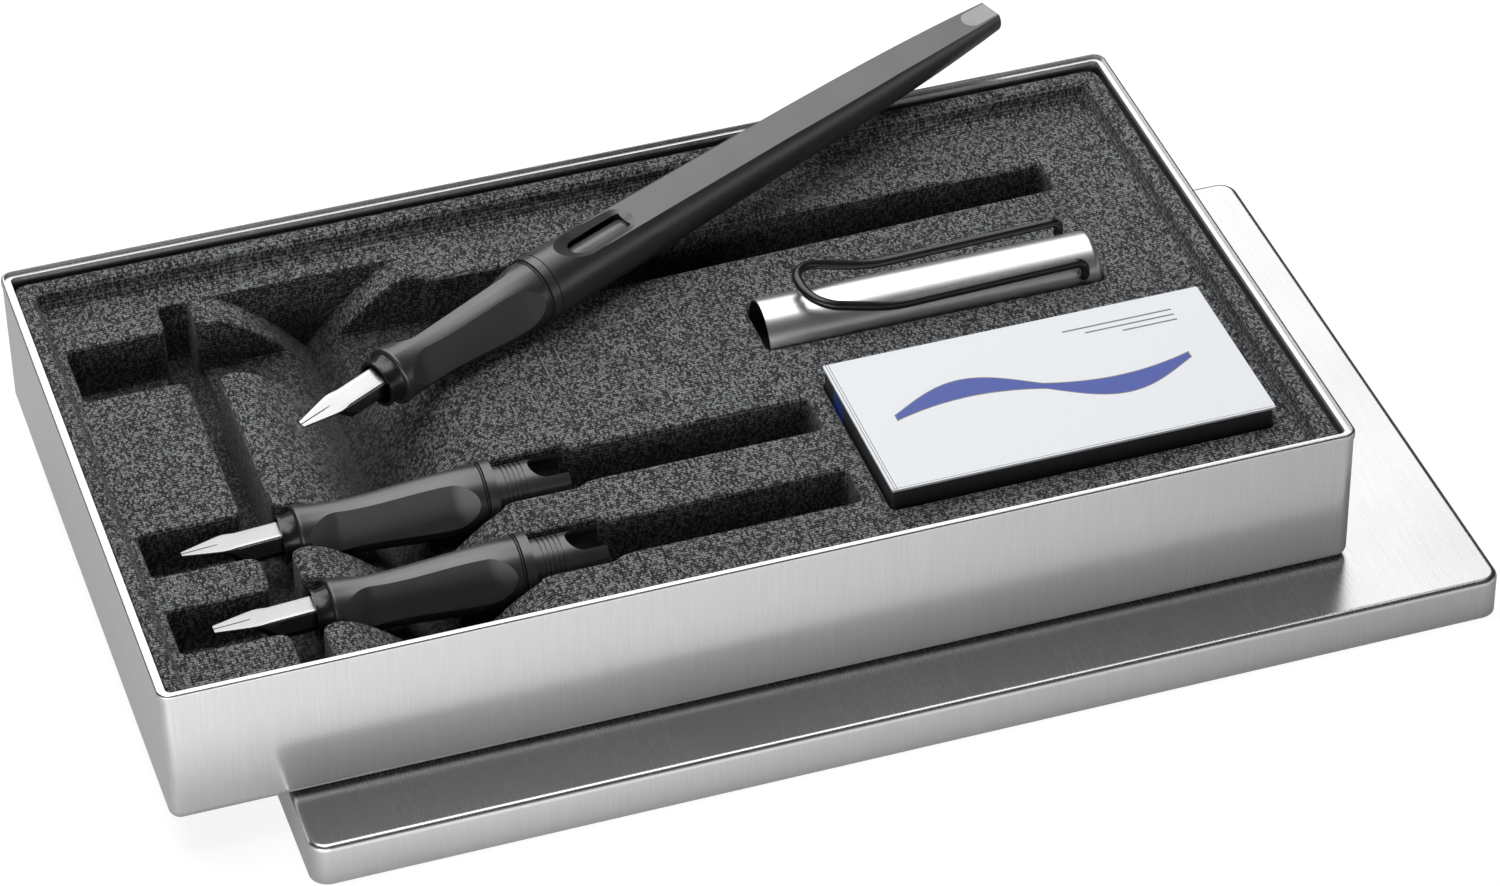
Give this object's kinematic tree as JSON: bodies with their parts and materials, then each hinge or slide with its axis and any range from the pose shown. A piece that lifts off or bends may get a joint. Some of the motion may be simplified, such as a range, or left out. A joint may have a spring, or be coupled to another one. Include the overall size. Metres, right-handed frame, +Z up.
{
  "type": "calligraphy set box",
  "caption": "Flat metal tin with a sunk cloth-covered insert that holds a calligraphy pen, spare nib sections, a pen cap and a carton of ink, standing across its own lid.",
  "frame": {"origin": "on the table, under the middle of the whole arrangement of tin, lid and pen", "axes": "+X along the tin's long side from the nib end to the carton end, +Y from the front of the tin to its back, +Z up"},
  "size_m": [0.2502, 0.1588, 0.0471],
  "materials": {
    "tin_steel": "brushed",
    "insert_cloth": "matt woven lining",
    "pen_satin": "satin",
    "collar_gloss": "gloss",
    "seal_rubber": "matt",
    "nib_steel": "polished",
    "inlay_grey": "satin",
    "ink_blue": "gloss",
    "ink_dark": "gloss",
    "cap_metal": "satin",
    "clip_gloss": "gloss",
    "liner_black": "matt",
    "carton_dark": "satin print",
    "carton_white": "satin print"
  },
  "bodies": {
    "lid": {"lid_shell": "tin_steel"},
    "tray": {"tray_shell": "tin_steel"},
    "insert": {"insert": "insert_cloth"},
    "pen": {"pen_section": "pen_satin", "pen_seal": "seal_rubber", "pen_collar": "collar_gloss", "pen_feed": "collar_gloss", "pen_nib": "nib_steel", "pen_cartridge": "ink_dark"},
    "barrel": {"pen_barrel": "pen_satin", "pen_end_inlay": "inlay_grey"},
    "spare_1": {"spare_1_section": "pen_satin", "spare_1_seal": "seal_rubber", "spare_1_collar": "collar_gloss", "spare_1_feed": "collar_gloss", "spare_1_nib": "nib_steel"},
    "spare_2": {"spare_2_section": "pen_satin", "spare_2_seal": "seal_rubber", "spare_2_collar": "collar_gloss", "spare_2_feed": "collar_gloss", "spare_2_nib": "nib_steel"},
    "cap": {"cap_tube": "cap_metal", "cap_liner": "liner_black", "cap_crown": "liner_black"},
    "clip": {"cap_clip": "clip_gloss"},
    "carton": {"carton_box": "carton_dark", "ink_cartridges": "ink_blue"},
    "carton_cover": {"carton_cover": "carton_white"}
  },
  "joints": [
    {"name": "tray_lift", "type": "slide", "parent": "lid", "child": "tray", "axis": [0, 0, 1], "range_m": [0, 0.06]},
    {"name": "insert_lift", "type": "slide", "parent": "tray", "child": "insert", "axis": [0, 0, 1], "range_m": [0, 0.05]},
    {"name": "pen_lift", "type": "slide", "parent": "insert", "child": "pen", "axis": [0, 0, 1], "range_m": [0, 0.08]},
    {"name": "barrel_unscrew", "type": "hinge", "parent": "pen", "child": "barrel", "pos_m": [-0.0628, 0.01148, 0.03711], "axis": [0.9097, 0.4127, 0.0466], "range_deg": [0, 720]},
    {"name": "spare_1_lift", "type": "slide", "parent": "insert", "child": "spare_1", "axis": [0, 0, 1], "range_m": [0, 0.06]},
    {"name": "spare_2_lift", "type": "slide", "parent": "insert", "child": "spare_2", "axis": [0, 0, 1], "range_m": [0, 0.06]},
    {"name": "cap_lift", "type": "slide", "parent": "insert", "child": "cap", "axis": [0, 0, 1], "range_m": [0, 0.06]},
    {"name": "clip_flex", "type": "hinge", "parent": "cap", "child": "clip", "pos_m": [0.0728, 0.00988, 0.03315], "axis": [0, 1, 0], "range_deg": [0, 6], "stiffness_Nm_per_rad": 0.6},
    {"name": "carton_lift", "type": "slide", "parent": "insert", "child": "carton", "axis": [0, 0, 1], "range_m": [0, 0.04]},
    {"name": "cover_open", "type": "hinge", "parent": "carton", "child": "carton_cover", "pos_m": [0.0528, -0.01052, 0.0356], "axis": [-1, 0, 0], "range_deg": [0, 110]}
  ]
}
